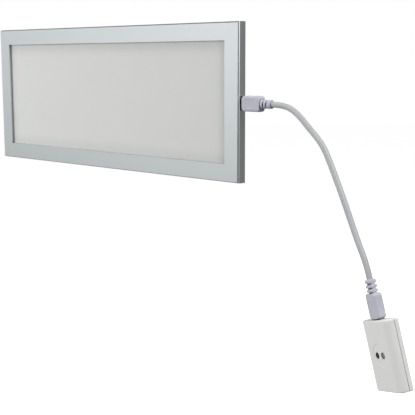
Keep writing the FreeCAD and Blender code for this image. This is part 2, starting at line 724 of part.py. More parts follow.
def make_back_shell():
    """A shallow tray with a lip along each side that fits inside the front shell."""
    body = new_body("switch_back_shell", switch_socket)
    back = value("box_back")
    ends_x = (value("box_top"), value("box_top - box_long"))
    half = value("box_wide / 2")
    parting = value("box_split + part_gap")
    block(body, ("box_top - box_long", "box_split + part_gap", "-box_wide / 2"),
          ("box_long", "box_back - box_split - part_gap", "box_wide"))
    rounded(body, "back_round",
            lambda at, ends: lengthwise(ends) and near(at.y, back) and near(abs(at.z), half))
    rounded(body, "box_edge",
            lambda at, ends: any(near(at.x, x) for x in ends_x) and at.y > parting + 0.1)
    block(body, ("box_top - box_long + box_wall", f"box_split - {PAST}",
                 "-box_wide / 2 + box_wall"),
          ("box_long - 2 * box_wall", f"box_back - box_wall - box_split + {PAST}",
           "box_wide - 2 * box_wall"), cut=True)
    for side in (-1, 1):
        lip_middle = f"{side} * (box_wide / 2 - box_wall - lip_fit - lip_thick / 2)"
        block(body, ("box_top - box_long + lip_start", "box_split - lip_rise",
                     f"{lip_middle} - lip_thick / 2"),
              ("box_long - 2 * lip_start", "lip_rise + part_gap + lip_foot", "lip_thick"))
        block(body, ("box_top - box_long + lip_start", "box_split + part_gap",
                     f"{lip_middle} - lip_thick / 2 - 2 * lip_fit"),
              ("box_long - 2 * lip_start", "lip_foot", "lip_thick + 4 * lip_fit"))
    block(body, (f"box_top - box_wall - {PAST}", "0", "-slot_length / 2"),
          (f"box_wall + 2 * {PAST}", "slot_width / 2", "slot_length"), cut=True)


SWITCH_BOARD_PARTS = (
    (-12, 4.2, 3, 1.1, 1.6),
    (-11, -6, 1.6, 0.5, 0.9),
    (-13.2, -6, 1.6, 0.5, 0.9),
    (-28, 2, 2.8, 1.8, 1.6),
    (-28, 5, 2, 0.6, 1.2),
)
# The controller chip in the same terms, with four legs along each side.
CONTROLLER = ((-28.5, -6.5, 3.9, 1.4, 4.9),)
CONTROLLER_LEGS = [(low_x, -6.1 + 1.27 * row, 0.9, 0.2, 0.4)
                   for row in range(4) for low_x in (-29.3, -24.7)]


def make_switch_board():
    board = new_body("switch_board", switch_socket)
    block(board, ("-box_board_start - box_board_long", "board_offset", "-box_board_wide / 2"),
          ("box_board_long", "box_board_thick", "box_board_wide"))
    chip = new_body("switch_controller_chip", switch_socket)
    parts_on_board(chip, CONTROLLER)
    parts_on_board(chip, CONTROLLER_LEGS)
    small = new_body("switch_board_parts", switch_socket)
    parts_on_board(small, SWITCH_BOARD_PARTS)


def make_eye(label, side):
    """A 3 mm round-nosed infrared part with its flange, standing on the board."""
    frame = switch_socket * FreeCAD.Placement(
        FreeCAD.Vector(value("-eye_drop"), 0, side * value("eye_pitch / 2")), FreeCAD.Rotation())
    body = new_body(label, frame)
    turned(body, [
        ("0", "board_offset"), ("eye_flange", "board_offset"),
        ("eye_flange", "board_offset - flange_tall"), ("eye_radius", "board_offset - flange_tall"),
        ("eye_radius", "-box_front + eye_sunk"), ("0", "-box_front + eye_sunk")], "V_Axis")
    tip = value("-box_front + eye_sunk")
    rounded(body, "eye_dome", lambda at, ends: near(at.y, tip))


make_front_shell()
make_back_shell()
make_switch_board()
make_eye("infrared_receiver", 1)
make_eye("infrared_emitter", -1)


# ---------------------------------------------------------------- checks and export

doc.recompute()
failed = [o.Label for o in doc.Objects if "Invalid" in o.State or "Error" in o.State]
if failed:
    raise ValueError(f"features failed: {failed}")
os.makedirs("parts", exist_ok=True)
for part in subparts:
    if part.Shape.isNull() or not part.Shape.isValid() or not part.Shape.Solids:
        raise ValueError(f"{part.Label} has no valid solid")
for part in subparts:
    part.Shape.exportStep(f"parts/{part.Label}.step")
    print(f"{part.Label}: {len(part.Shape.Solids)} solid(s), {part.Shape.Volume:.1f} mm3")
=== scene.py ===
import json
import math

import bmesh
import bpy
from mathutils import Matrix, Quaternion, Vector


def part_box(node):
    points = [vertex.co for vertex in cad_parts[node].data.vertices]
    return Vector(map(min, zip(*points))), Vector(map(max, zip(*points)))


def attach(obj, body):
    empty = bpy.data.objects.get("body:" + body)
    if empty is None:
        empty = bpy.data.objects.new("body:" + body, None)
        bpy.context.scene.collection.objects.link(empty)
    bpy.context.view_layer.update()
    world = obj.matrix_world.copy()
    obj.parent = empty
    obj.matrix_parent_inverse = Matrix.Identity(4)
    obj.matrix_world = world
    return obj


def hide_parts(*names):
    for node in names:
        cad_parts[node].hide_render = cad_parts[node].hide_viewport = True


# An edge-lit LED panel in an aluminium frame, with a plug-in lead and a hand-wave switch box.
# The scene is in metres in the CAD frame: +Z up, -Y out of the lit face, the origin at the
# centre of the panel's back. Pieces are written in millimetres and scaled by MM.

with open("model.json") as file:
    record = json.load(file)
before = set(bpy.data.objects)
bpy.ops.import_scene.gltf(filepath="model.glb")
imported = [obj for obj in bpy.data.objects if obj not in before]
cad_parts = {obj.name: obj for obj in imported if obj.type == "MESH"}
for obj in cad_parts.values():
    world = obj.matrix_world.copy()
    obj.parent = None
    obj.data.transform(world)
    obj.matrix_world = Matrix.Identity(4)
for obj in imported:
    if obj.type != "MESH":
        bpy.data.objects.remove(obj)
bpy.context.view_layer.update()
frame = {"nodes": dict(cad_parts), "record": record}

MM = 0.001


# ---------------------------------------------------------------- camera

CAMERA_PLACE = (0.51526, -0.44173, 0.02689)
CAMERA_AZIMUTH, CAMERA_ELEVATION, CAMERA_ROLL = 43.664, 8.946, -0.148
LENS, SENSOR = 81.605, 36


def make_camera():
    """The camera that was fitted to the picture."""
    camera = bpy.data.objects.new("camera", bpy.data.cameras.new("camera"))
    bpy.context.scene.collection.objects.link(camera)
    azimuth, elevation = math.radians(CAMERA_AZIMUTH), math.radians(CAMERA_ELEVATION)
    back = Vector((math.sin(azimuth) * math.cos(elevation),
                   -math.cos(azimuth) * math.cos(elevation), math.sin(elevation)))
    turn = Quaternion((0, 0, 1), math.radians(CAMERA_ROLL))
    camera.rotation_mode = "QUATERNION"
    camera.rotation_quaternion = back.to_track_quat("Z", "Y") @ turn
    camera.location = CAMERA_PLACE
    camera.data.lens = LENS
    camera.data.sensor_width = SENSOR
    camera.data.clip_start, camera.data.clip_end = 0.01, 50
    bpy.context.scene.camera = camera


make_camera()


# ---------------------------------------------------------------- node materials

def plug_in(tree, node, values):
    """Sets inputs of a node. A value is a number, a tuple or another node's output socket."""
    for key, given in values.items():
        socket = node.inputs[key]
        if isinstance(given, bpy.types.NodeSocket):
            tree.links.new(given, socket)
        else:
            socket.default_value = given


def add(tree, kind, values=None, **settings):
    """One shader node with its settings and inputs."""
    node = tree.nodes.new(kind)
    for name, setting in settings.items():
        setattr(node, name, setting)
    plug_in(tree, node, values or {})
    return node


def ramp(tree, factor, stops):
    """A colour ramp through (place, brightness or colour) stops."""
    node = add(tree, "ShaderNodeValToRGB", {"Fac": factor})
    elements = node.color_ramp.elements
    while len(elements) < len(stops):
        elements.new(0.5)
    for element, (place, tone) in zip(elements, stops):
        element.position = place
        element.color = (*tone, 1) if isinstance(tone, tuple) else (tone, tone, tone, 1)
    return node.outputs["Color"]


def math_node(tree, operation, a, b=0.0):
    """A calculation with one or two numbers or sockets."""
    return add(tree, "ShaderNodeMath", {0: a, 1: b}, operation=operation).outputs[0]


def place_of(tree, stretch=(1, 1, 1)):
    """Object coordinates, which are the CAD frame's, squeezed or stretched along each axis."""
    coordinates = add(tree, "ShaderNodeTexCoord").outputs["Object"]
    return add(tree, "ShaderNodeMapping", {"Vector": coordinates, "Scale": stretch}
               ).outputs["Vector"]


def noise(tree, where, scale, detail, roughness=0.55):
    """Noise with a number of spots per metre."""
    return add(tree, "ShaderNodeTexNoise", {
        "Vector": where, "Scale": scale, "Detail": detail, "Roughness": roughness}
        ).outputs["Fac"]


def mix_colour(tree, factor, a, b, blend="MIX"):
    """Mixes two colours, each a tuple or an output socket. The indices are the RGBA sockets."""
    colours = {index: (*given, 1) if isinstance(given, tuple) else given
               for index, given in ((6, a), (7, b))}
    node = add(tree, "ShaderNodeMix", {0: factor, **colours},
               data_type="RGBA", blend_type=blend)
    return node.outputs[2]


def scaled(colour, share):
    """The colour made darker or lighter, no brighter than full."""
    return tuple(min(1.0, part * share) for part in colour)


MICRON = 0.000001
WEAR_AND_HIGHLIGHT_RADIUS, COAT_ROUGHNESS = 0.00025, 0.12
# What a speckle, an edge lightened by wear and a painted highlight, and the painted shade in a
# corner make of the colour.
SPECKLE_TONE, WEAR_AND_HIGHLIGHT_TONE, CORNER_SHADE_TONE = 0.8, 1.25, 0.12


def surface(name, colour, roughness, metallic=0.0, ior=1.5, coat=0.0, transmission=0.0,
            grain=9000, grain_stretch=(1, 1, 1), grain_height=10 * MICRON, rough_spread=0.015,
            blotch=60, variation=0.03, speckle=0.0, edge_wear_and_highlight=0.0, corner_shade=0.0,
            corner_shade_reach=0.0015, subsurface=0.0, subsurface_depth=0.002):
    """Blotched colour, grain in height and gloss, edges lightened by wear and a painted
    highlight, and painted shade in corners.

    grain and blotch are spots per metre; grain_height, the painted shade's reach and
    subsurface_depth are in metres; speckle, edge wear with highlight and painted shade are
    shares of the tone they lay over the colour.
    """
    material = bpy.data.materials.new(name)
    material.use_nodes = True
    tree = material.node_tree
    shader = tree.nodes["Principled BSDF"]
    plain = place_of(tree)
    stretched = place_of(tree, grain_stretch)
    large = noise(tree, plain, blotch, 3)
    fine = noise(tree, stretched, grain, 5, 0.6)
    tint = ramp(tree, large, [(0.3, scaled(colour, 1 - variation)),
                              (0.7, scaled(colour, 1 + variation))])
    if speckle:
        dots = noise(tree, plain, grain * 0.35, 2)
        share = ramp(tree, dots, [(0.62, 0.0), (0.7, 1.0)])
        tint = mix_colour(tree, math_node(tree, "MULTIPLY", share, speckle), tint,
                          scaled(colour, SPECKLE_TONE))
    gloss = add(tree, "ShaderNodeMapRange", {
        "Value": fine, "From Min": 0.25, "From Max": 0.75,
        "To Min": max(0.02, roughness - rough_spread),
        "To Max": roughness + rough_spread}).outputs[0]
    # Edges lightened by wear and by a painted highlight, where the Bevel node finds an edge.
    if edge_wear_and_highlight:
        soft = add(tree, "ShaderNodeBevel", {"Radius": WEAR_AND_HIGHLIGHT_RADIUS}, samples=4).outputs[0]
        sharp = add(tree, "ShaderNodeNewGeometry").outputs["Normal"]
        agree = add(tree, "ShaderNodeVectorMath", {0: soft, 1: sharp},
                    operation="DOT_PRODUCT").outputs["Value"]
        wear_and_highlight = add(tree, "ShaderNodeMapRange", {
            "Value": agree, "From Min": 0.999, "From Max": 0.9, "To Min": 0.0,
            "To Max": edge_wear_and_highlight}).outputs[0]
        patchy = math_node(tree, "MULTIPLY", wear_and_highlight, ramp(tree, large, [(0.35, 0.4), (0.6, 1.0)]))
        tint = mix_colour(tree, patchy, tint, scaled(colour, WEAR_AND_HIGHLIGHT_TONE))
    # Painted shade: the colour darkens where the Ambient Occlusion node finds a corner, a gap
    # or a slot.
    if corner_shade:
        open_share = add(tree, "ShaderNodeAmbientOcclusion", {"Distance": corner_shade_reach},
                         samples=8).outputs["AO"]
        shaded_share = ramp(tree, open_share, [(0.15, 1.0), (0.88, 0.0)])
        tint = mix_colour(tree, math_node(tree, "MULTIPLY", shaded_share, corner_shade), tint,
                          scaled(colour, CORNER_SHADE_TONE))
    bump = add(tree, "ShaderNodeBump", {
        "Height": fine, "Distance": grain_height, "Strength": 1.0}).outputs[0]
    plug_in(tree, shader, {
        "Base Color": tint, "Roughness": gloss, "Metallic": metallic, "IOR": ior,
        "Coat Weight": coat, "Coat Roughness": COAT_ROUGHNESS,
        "Transmission Weight": transmission, "Subsurface Weight": subsurface,
        "Subsurface Radius": (subsurface_depth,) * 3, "Subsurface Scale": 1.0,
        "Normal": bump})
    return material


# Aluminium drawn along a rail or a sheet, and nickel rolled along a plug.
DRAWN_X, DRAWN_Z, ROLLED_X = (0.5, 1, 1), (1, 1, 0.5), (0.05, 1, 1)
FRAME_SILVER = (0.70, 0.746, 0.752)
ANODISED = {"grain": 1400, "grain_height": 0.05 * MICRON, "variation": 0.006,
            "rough_spread": 0.003, "edge_wear_and_highlight": 0.35, "corner_shade": 0.5, "corner_shade_reach": 0.0025}

# Where a material darkens its corners, gaps and slots, that is painted shade; where it lightens
# its edges, that is wear with a painted highlight.
MATERIALS = {
    "anodised_x": surface("anodised_along_x", FRAME_SILVER, 0.29, 0.95,
                          grain_stretch=DRAWN_X, **ANODISED),
    "anodised_z": surface("anodised_along_z", FRAME_SILVER, 0.29, 0.95,
                          grain_stretch=DRAWN_Z, **ANODISED),
    "cover_aluminium": surface("cover_aluminium", (0.58, 0.59, 0.60), 0.45, 0.4, grain=2200,
                               grain_stretch=DRAWN_X, grain_height=0.5 * MICRON,
                               variation=0.02, edge_wear_and_highlight=0.3),
    "opal_acrylic": surface("opal_acrylic", (0.73, 0.743, 0.727), 0.42, grain=2600,
                            grain_height=2 * MICRON, blotch=22, variation=0.006,
                            subsurface=0.35, subsurface_depth=0.004, ior=1.49),
    "clear_acrylic": surface("clear_acrylic", (0.86, 0.92, 0.93), 0.08, grain=900,
                             grain_height=MICRON, variation=0.01, transmission=0.8, ior=1.49),
    "white_film": surface("white_film", (0.9, 0.9, 0.9), 0.6, grain=6000, variation=0.01),
    "grey_foam": surface("grey_foam", (0.2, 0.2, 0.21), 0.9, grain=2600,
                         grain_height=120 * MICRON, variation=0.08, speckle=0.5),
    "white_board": surface("white_board", (0.82, 0.83, 0.8), 0.35, grain=3000, coat=0.3,
                           variation=0.02, grain_height=4 * MICRON),
    "green_board": surface("green_board", (0.03, 0.2, 0.08), 0.3, grain=1500, coat=0.4,
                           variation=0.25, blotch=900),
    "led_package": surface("led_package", (0.9, 0.72, 0.22), 0.3, grain=4000, coat=0.4,
                           variation=0.06, subsurface=0.1),
    "black_epoxy": surface("black_epoxy", (0.02, 0.02, 0.022), 0.5, grain=7000,
                           variation=0.15, speckle=0.2),
    "nickel_plate": surface("nickel_plate", (0.62, 0.61, 0.585), 0.2, 1.0, grain=7000,
                            corner_shade=0.95, corner_shade_reach=0.003, grain_stretch=ROLLED_X,
                            grain_height=MICRON, edge_wear_and_highlight=0.4),
    "gilt_contact": surface("gilt_contact", (0.83, 0.61, 0.25), 0.24, 1.0,
                            grain_height=MICRON, variation=0.05),
    "black_insulator": surface("black_insulator", (0.025, 0.025, 0.027), 0.38, grain=8000,
                               grain_height=6 * MICRON, variation=0.1),
    "red_wire": surface("red_wire", (0.5, 0.02, 0.015), 0.4, grain=5000, variation=0.06),
    "black_wire": surface("black_wire", (0.02, 0.02, 0.022), 0.42, grain=5000, variation=0.1),
    "zinc_screw": surface("zinc_screw", (0.66, 0.67, 0.68), 0.3, 1.0, grain=6000,
                          grain_height=3 * MICRON, variation=0.06, edge_wear_and_highlight=0.6),
    "lilac_white_pvc": surface("lilac_white_pvc", (0.53, 0.535, 0.60), 0.46, grain=1800,
                               corner_shade=0.75, corner_shade_reach=0.0016, grain_height=0.8 * MICRON,
                               variation=0.02, subsurface=0.15, subsurface_depth=0.001,
                               ior=1.45),
    "white_cord": surface("white_cord", (0.465, 0.48, 0.492), 0.42, grain=1500,
                          grain_height=0.5 * MICRON, variation=0.025, blotch=120,
                          subsurface=0.12, subsurface_depth=0.001, ior=1.45),
    "white_abs": surface("white_abs", (0.80, 0.805, 0.785), 0.36, grain=1600,
                         corner_shade=0.85, corner_shade_reach=0.0009, grain_height=0.7 * MICRON,
                         variation=0.01, subsurface=0.12, subsurface_depth=0.001,
                         speckle=0.06),
    "dark_ir_epoxy": surface("dark_ir_epoxy", (0.006, 0.006, 0.007), 0.12, grain=2600,
                             grain_height=2 * MICRON, variation=0.2, coat=0.5),
    "smoked_ir_epoxy": surface("smoked_ir_epoxy", (0.25, 0.255, 0.25), 0.14, grain=2600,
                               grain_height=2 * MICRON, variation=0.1, coat=0.5,
                               subsurface=0.2, transmission=0.1),
}

# The opal plate's opening, how far in from it the painted shade of the frame's lip reaches, and
# how much that darkens.
OPENING_HALF_WIDE, OPENING_HALF_TALL, BORDER_SHADE_REACH, BORDER_SHADE_SHARE = 0.115, 0.0385, 0.010, 0.12


def paint_border_shade(material, half_wide, half_tall, reach, share):
    """Darkens a sheet towards the edges of the opening it shows through: painted shade from the
    frame's lip.
    """
    tree = material.node_tree
    shader = tree.nodes["Principled BSDF"]
    tint = shader.inputs["Base Color"].links[0].from_socket
    where = add(tree, "ShaderNodeSeparateXYZ", {
        0: add(tree, "ShaderNodeTexCoord").outputs["Object"]})
    shares = []
    for axis, half in (("X", half_wide), ("Z", half_tall)):
        from_edge = math_node(tree, "SUBTRACT", half,
                              math_node(tree, "ABSOLUTE", where.outputs[axis]))
        shares.append(add(tree, "ShaderNodeMapRange", {
            "Value": from_edge, "From Min": 0.0, "From Max": reach, "To Min": 1 - share,
            "To Max": 1.0}, interpolation_type="SMOOTHSTEP").outputs[0])
    both = math_node(tree, "MULTIPLY", *shares)
    grey = add(tree, "ShaderNodeCombineColor", {0: both, 1: both, 2: both}).outputs[0]
    tree.links.new(mix_colour(tree, 1.0, tint, grey, "MULTIPLY"),
                   shader.inputs["Base Color"])


paint_border_shade(MATERIALS["opal_acrylic"], OPENING_HALF_WIDE, OPENING_HALF_TALL, BORDER_SHADE_REACH,
             BORDER_SHADE_SHARE)

SLOT_OF = {row["node"]: row["material_slot"] for row in frame["record"]["subparts"]}


def dress(piece, slot, material=None):
    """Gives a piece its material: the given one, or else the slot's."""
    piece.data.materials.clear()
    piece.data.materials.append(MATERIALS[material or slot])


for node_name, node_object in frame["nodes"].items():
    if SLOT_OF[node_name] in MATERIALS:
        node_object.data.materials.clear()
        node_object.data.materials.append(MATERIALS[SLOT_OF[node_name]])


# ---------------------------------------------------------------- the lead
# The route of the CAD tube: straight out of the panel's plug, over in a bend that opens as it
# drops, then down to the switch box's plug along the plug's own axis.

CORD_DIAMETER = 0.0036
LEAD_ROUTE = [
    (0.1508, -0.00345, 0.0),
    (0.1603, -0.00345, 0.0),
    (0.1700, -0.0036, -0.0043),
    (0.1786, -0.0040, -0.0121),
    (0.1899, -0.0047, -0.0216),
    (0.1974, -0.0057, -0.0340),
    (0.2075, -0.0072, -0.0525),
    (0.2180, -0.0090, -0.0730),
    (0.22607, -0.0106, -0.08635),
    (0.22836, -0.0106, -0.09401),
]


def make_lead():
    """The cord as a curve with a round section."""
    curve = bpy.data.curves.new("lead", "CURVE")
    curve.dimensions = "3D"
    spline = curve.splines.new("NURBS")
    spline.points.add(len(LEAD_ROUTE) - 1)
    for point, place in zip(spline.points, LEAD_ROUTE):
        point.co = (*place, 1)
    spline.order_u = 3
    spline.use_endpoint_u = True
    spline.resolution_u = 24
    curve.bevel_depth = CORD_DIAMETER / 2
    curve.bevel_resolution = 9
    curve.use_fill_caps = True
    lead = bpy.data.objects.new("lead", curve)
    bpy.context.scene.collection.objects.link(lead)
    dress(lead, "white_cord")
    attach(lead, "lead")
    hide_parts("lead_cord")
    return lead


lead = make_lead()


# ---------------------------------------------------------------- mesh helpers

def rounded_outline(corners, steps=4):
    """A closed outline in a plane; each corner is (x, y, radius)."""
    points = []
    count = len(corners)
    for number, (x, y, radius) in enumerate(corners):
        here = Vector((x, y))
        before = Vector(corners[number - 1][:2])
        after = Vector(corners[(number + 1) % count][:2])
        inward, onward = (here - before).normalized(), (after - here).normalized()
        turn = inward.angle_signed(onward)
        if radius <= 0 or abs(turn) < 1e-4:
            points.append(here)
            continue
        setback = radius * math.tan(abs(turn) / 2)
        start = here - inward * setback
        left = Vector((-inward.y, inward.x))
        centre = start + left * math.copysign(radius, onward.dot(left))
        first = start - centre
        last = here + onward * setback - centre
        sweep = first.angle_signed(last)
        for step in range(steps + 1):
            angle = -sweep * step / steps
            rotated = Vector((first.x * math.cos(angle) - first.y * math.sin(angle),
                              first.x * math.sin(angle) + first.y * math.cos(angle)))
            points.append(centre + rotated)
    return points


def rounded_rectangle(low, high, half_wide, low_round, high_round, steps):
    """An outline from low to high in x and to half_wide on both sides in y."""
    return rounded_outline([(low, -half_wide, low_round), (high, -half_wide, high_round),
                            (high, half_wide, high_round), (low, half_wide, low_round)], steps)


def loft(rings):
    """A bmesh through rings of equally many points, capped at both ends."""
    mesh = bmesh.new()
    rows = [[mesh.verts.new(point) for point in ring] for ring in rings]
    count = len(rows[0])
    for near_row, far_row in zip(rows, rows[1:]):
        for number in range(count):
            following = (number + 1) % count
            mesh.faces.new((near_row[number], near_row[following],
                            far_row[following], far_row[number]))
    mesh.faces.new(list(reversed(rows[0])))
    mesh.faces.new(rows[-1])
    bmesh.ops.recalc_face_normals(mesh, faces=mesh.faces)
    return mesh


def to_object(name, mesh):
    """Writes a bmesh in millimetres as an object in metres."""
    data = bpy.data.meshes.new(name)
    mesh.to_mesh(data)
    mesh.free()
    data.transform(Matrix.Scale(MM, 4))
    piece = bpy.data.objects.new(name, data)
    bpy.context.scene.collection.objects.link(piece)
    return piece


def bar(name, stations, steps):
    """A bar along X through (x, low y, high y, half z, low rounding, high rounding)."""
    return to_object(name, loft([
        [(x, y, z) for y, z in rounded_rectangle(*section, steps)]
        for x, *section in stations]))


def applied(piece):
    """Bakes the piece's modifiers into its mesh."""
    bpy.context.view_layer.update()
    graph = bpy.context.evaluated_depsgraph_get()
    final = bpy.data.meshes.new_from_object(piece.evaluated_get(graph))
    old = piece.data
    piece.modifiers.clear()
    piece.data = final
    final.name = piece.name
    bpy.data.meshes.remove(old)


def combine(piece, other, operation):
    """A boolean with another object, which is used up."""
    modifier = piece.modifiers.new("boolean", "BOOLEAN")
    modifier.operation = operation
    modifier.object = other
    modifier.solver = "EXACT"
    applied(piece)
    used = other.data
    bpy.data.objects.remove(other)
    bpy.data.meshes.remove(used)


def resmooth(piece, angle=35):
    """Smooth shading below an angle, with flat faces kept flat beside their rounded edges."""
    piece.data.shade_smooth()
    piece.data.set_sharp_from_angle(angle=math.radians(angle))
    weighted = piece.modifiers.new("weighted", "WEIGHTED_NORMAL")
    weighted.weight = 100
    weighted.keep_sharp = True


def finish_piece(piece, body, slot, nodes, material=None):
    """Material, the body that the piece rides on and the CAD nodes that it replaces."""
    dress(piece, slot, material)
    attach(piece, body)
    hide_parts(*nodes)
    return piece


# ---------------------------------------------------------------- the frame's rails

PANEL_LOW, PANEL_HIGH = (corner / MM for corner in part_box("frame_rail_top"))
HALF_WIDTH = PANEL_HIGH.x
HALF_HEIGHT = PANEL_HIGH.z
DEPTH = -PANEL_LOW.y
BEZEL = PANEL_HIGH.z - PANEL_LOW.z
LIP, WALL = 1.8, 1.4
# A rail's section: distance in from the outer face, distance behind the front, rounding.
RAIL_SECTION = [
    (0.75, 0.0, 0.16), (BEZEL, 0.0, 0.035), (BEZEL, LIP, 0.03), (WALL, LIP, 0.3),
    (WALL, DEPTH, 0.12), (0.0, DEPTH, 0.25), (0.0, 1.65, 0.12), (0.45, 1.2, 0.08),
    (0.45, 0.30, 0.16),
]
# The gap in a mitre, how far its eased edge reaches along the rail and how steep that is.
MITRE_GAP, MITRE_EASE, MITRE_SLOPE = 0.005, 0.03, 0.6
SLOT_HALF_LONG, SLOT_HALF_WIDE, SLOT_ROUND, SLOT_EASE = 4.2, 1.7, 0.5, 0.2
# The slot's cutter: distance out from the rail's face, and how much wider the slot is there.
SLOT_CUTTER = ((-2.2, 0), (-SLOT_EASE, 0), (0.1, SLOT_EASE + 0.1), (0.6, SLOT_EASE + 0.1))


def inset(points, amount):
    """The closed outline moved inwards."""
    area = sum(a.x * b.y - b.x * a.y for a, b in zip(points, points[1:] + points[:1]))
    sign = 1 if area > 0 else -1
    moved = []
    for number, here in enumerate(points):
        before, after = points[number - 1], points[(number + 1) % len(points)]
        along = (after - before).normalized()
        moved.append(here + Vector((-along.y, along.x)) * sign * amount)
    return moved


def make_rail(side):
    """A mitred rail with eased ends; a side rail has a slot for the plug."""
    outline = rounded_outline(RAIL_SECTION)
    eased = inset(outline, MITRE_EASE * MITRE_SLOPE)
    flat = side in ("top", "bottom")
    half_span = HALF_WIDTH if flat else HALF_HEIGHT
    sign = 1 if side in ("top", "right") else -1
    rings = []
    for end, setback, section in ((-1, MITRE_GAP, eased), (-1, MITRE_GAP + MITRE_EASE, outline),
                                  (1, MITRE_GAP + MITRE_EASE, outline), (1, MITRE_GAP, eased)):
        ring = []
        for inwards, behind in section:
            along = end * (half_span - inwards - setback)
            if flat:
                ring.append((along, behind - DEPTH, sign * (HALF_HEIGHT - inwards)))
            else:
                ring.append((sign * (HALF_WIDTH - inwards), behind - DEPTH, along))
        rings.append(ring)
    rail = to_object(f"rail_{side}", loft(rings))
    if not flat:
        rings = []
        for x, extra in SLOT_CUTTER:
            wide = SLOT_HALF_WIDE + extra
            shape = rounded_rectangle(-wide, wide, SLOT_HALF_LONG + extra, SLOT_ROUND,
                                      SLOT_ROUND, steps=5)
            rings.append([(sign * (HALF_WIDTH + x), -DEPTH / 2 + y, z) for y, z in shape])
        combine(rail, to_object("slot_cutter", loft(rings)), "DIFFERENCE")
    resmooth(rail)
    finish_piece(rail, "panel", "anodised_aluminium", [f"frame_rail_{side}"],
                 "anodised_x" if flat else "anodised_z")


for rail_side in ("top", "bottom", "left", "right"):
    make_rail(rail_side)


# ---------------------------------------------------------------- plugs
# Drawn in a socket's frame, as in the CAD: +X out of the socket along the plug's axis, -Y
# towards the front. Each overmould is one soft moulding, so its parts are fused by a fine
# remesh that leaves every edge slightly eased.

SWITCH_ORIGIN = Vector((0.2353, -0.0106, -0.1173))
SWITCH_LEAN, SWITCH_TWIST = math.radians(16.6), math.radians(24.3)


def switch_frame():
    """The switch box's socket: +X is the way out of it, towards the panel."""
    plug_way = Vector((-math.sin(SWITCH_LEAN), 0, math.cos(SWITCH_LEAN)))
    backwards = Quaternion(plug_way, -SWITCH_TWIST) @ Vector((0, 1, 0))
    across = plug_way.cross(backwards)
    turn = Matrix((plug_way, backwards, across)).transposed().to_4x4()
    return Matrix.Translation(SWITCH_ORIGIN) @ turn


RIGHT_SOCKET = Matrix.Translation(Vector((HALF_WIDTH * MM, -DEPTH / 2 * MM, 0)))
SWITCH_SOCKET = switch_frame()

PLUG_NOSE, PLUG_HEEL = 2.1, 16.5
PLUG_HALF_WIDE, PLUG_HALF_THICK = 4.85, 3.0
# Start and end of each strain-relief ring along the axis, and the spine that joins them.
RINGS = ((17.1, 18.7), (19.6, 21.2), (22.1, 23.9))
RING_HALF_THICK, RING_HALF_WIDE, RING_CORNER, RING_EASE, RING_BEVEL = 3.12, 2.65, 2.3, 0.22, 0.2
SPINE_HALF_THICK, SPINE_HALF_WIDE, SPINE_CORNER, SPINE_SUNK = 1.3, 2.5, 0.5, 0.3
RELIEF_ROOT, RELIEF_END = 14.6, 24.3
# How the last ring narrows: distance past its end, then how much thinner and narrower it is.
LAST_RING_TAIL = ((-0.1, 0, 0), (0.15, 0.2, 0.15))
RELIEF_END_HALF_THICK, RELIEF_END_HALF_WIDE = 2.5, 2.3
# Roundings of the moulding's outline at both ends, seen on its face and on its side.
NOSE_ROUND_WIDE, HEEL_ROUND_WIDE, NOSE_ROUND_THICK, HEEL_ROUND_THICK = 2.2, 1.5, 0.7, 0.5
PLUG_CORNER = 1.35
# The largest share of a bar's half size that its corners may take up.
FULLY_ROUND = 0.95
END_STATIONS = (0, 0.12, 0.3, 0.55, 0.9, 1.4, 2.0, 3.0)
# The shallow grip on each face: its ends, half width and corners, then the cutter's profile
# as (height above the face, how much larger the outline is there).
GRIP_START, GRIP_END, GRIP_HALF_WIDE, GRIP_CORNER = 5.4, 12.4, 2.6, 1.5
GRIP_PROFILE = ((0.5, 0.45), (0.0, 0.1), (-0.13, -0.25), (-0.16, -0.6))
VOXEL, SOFTENING, SOFTENING_ROUNDS = 0.14, 0.5, 4


def ease(distance, radius):
    """How far a rounded end of that radius stands in from the full size."""
    gap = max(0.0, radius - distance)
    return radius - math.sqrt(max(0.0, radius ** 2 - gap ** 2))


def plug_block():
    """The moulding's body, rounded towards the nose and the heel."""
    length = PLUG_HEEL - PLUG_NOSE
    stations = []
    for s in (*END_STATIONS, length / 2, *(length - s for s in reversed(END_STATIONS))):
        from_heel = length - s
        wide = PLUG_HALF_WIDE - ease(s, NOSE_ROUND_WIDE) - ease(from_heel, HEEL_ROUND_WIDE)
        thick = PLUG_HALF_THICK - ease(s, NOSE_ROUND_THICK) - ease(from_heel, HEEL_ROUND_THICK)
        stations.append((PLUG_NOSE + s, -thick, thick, wide, PLUG_CORNER, PLUG_CORNER))
    return bar("plug_block", stations, steps=6)


def slab(low, high):
    """A plain block between two corners, to be fused into a piece."""
    mesh = bmesh.new()
    bmesh.ops.create_cube(mesh, size=1)
    low, high = Vector(low), Vector(high)
    for vertex in mesh.verts:
        vertex.co = (low + high) / 2 + Vector(
            a * b for a, b in zip(vertex.co, high - low))
    return mesh


def oval_bar(name, stations, corner):
    """A bar along X through (x, half thickness, half width), with equal corners."""
    sections = []
    for x, thick, wide in stations:
        radius = min(corner, thick * FULLY_ROUND, wide * FULLY_ROUND)
        sections.append((x, -thick, thick, wide, radius, radius))
    return bar(name, sections, steps=8)


